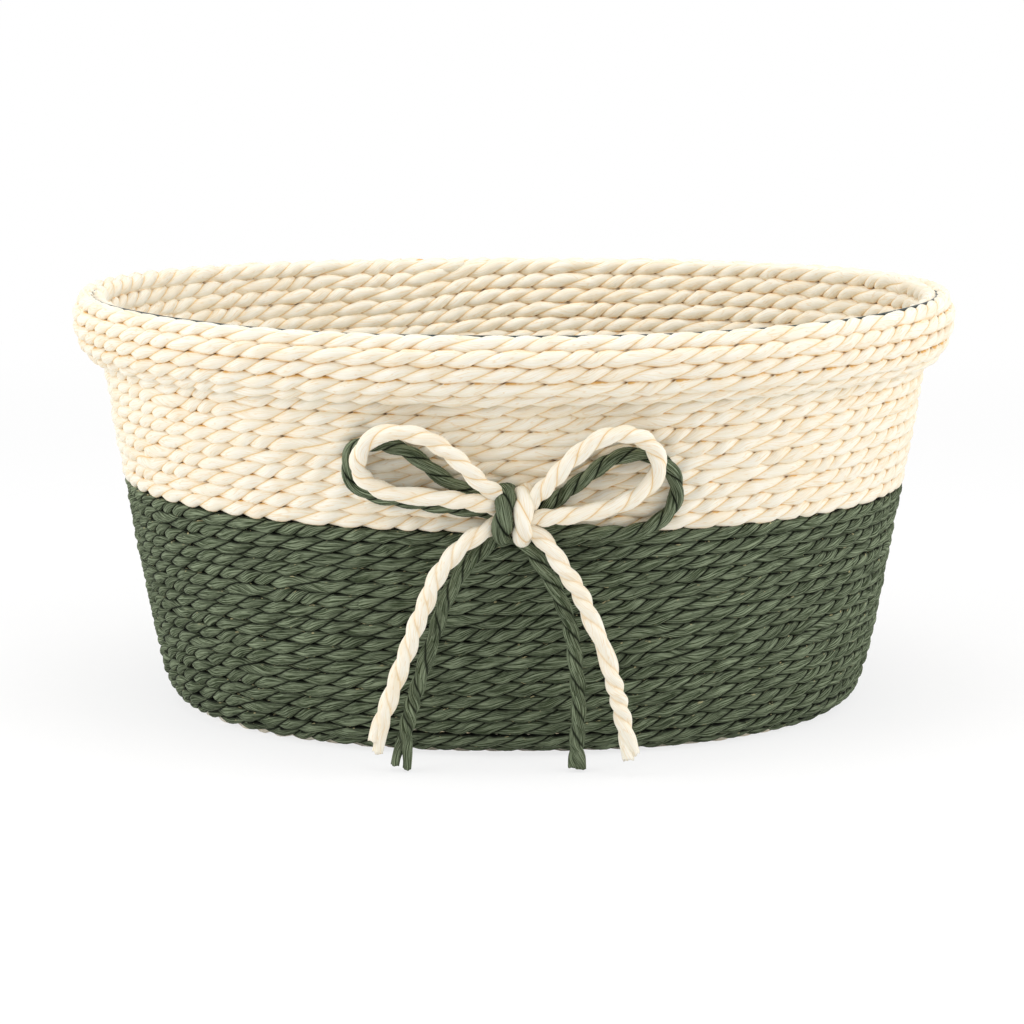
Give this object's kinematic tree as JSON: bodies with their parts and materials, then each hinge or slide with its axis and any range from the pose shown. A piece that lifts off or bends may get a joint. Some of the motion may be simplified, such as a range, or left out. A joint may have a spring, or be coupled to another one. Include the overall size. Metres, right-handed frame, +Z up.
{
  "type": "paper rope storage basket",
  "caption": "Open oval storage basket wound from twisted paper rope in two colours, with a rolled rim over a wire and a rope bow tied at the front.",
  "frame": {"origin": "middle of the basket's footprint, on the surface it stands on, without the bow", "axes": "+X along the long side of the oval, the bow faces -Y, +Z up"},
  "size_m": [0.339, 0.2994, 0.1598],
  "materials": {
    "cream_rope": "matte twisted paper rope",
    "green_rope": "matte twisted paper rope, dyed",
    "rim_wire": "dark plastic coating"
  },
  "bodies": {
    "root": {"base_coil": "cream_rope", "green_wall_coil": "green_rope", "cream_wall_coil": "cream_rope", "rim_roll_coil": "cream_rope", "rim_wire": "rim_wire", "cream_loop_left": "cream_rope", "green_loop_left": "green_rope", "cream_loop_right": "cream_rope", "green_loop_right": "green_rope", "cream_tail_left": "cream_rope", "green_tail_left": "green_rope", "cream_tail_right": "cream_rope", "green_tail_right": "green_rope", "cream_tie_inside": "cream_rope", "green_tie_inside": "green_rope", "green_knot_wrap": "green_rope", "cream_knot_wrap": "cream_rope"}
  },
  "joints": []
}
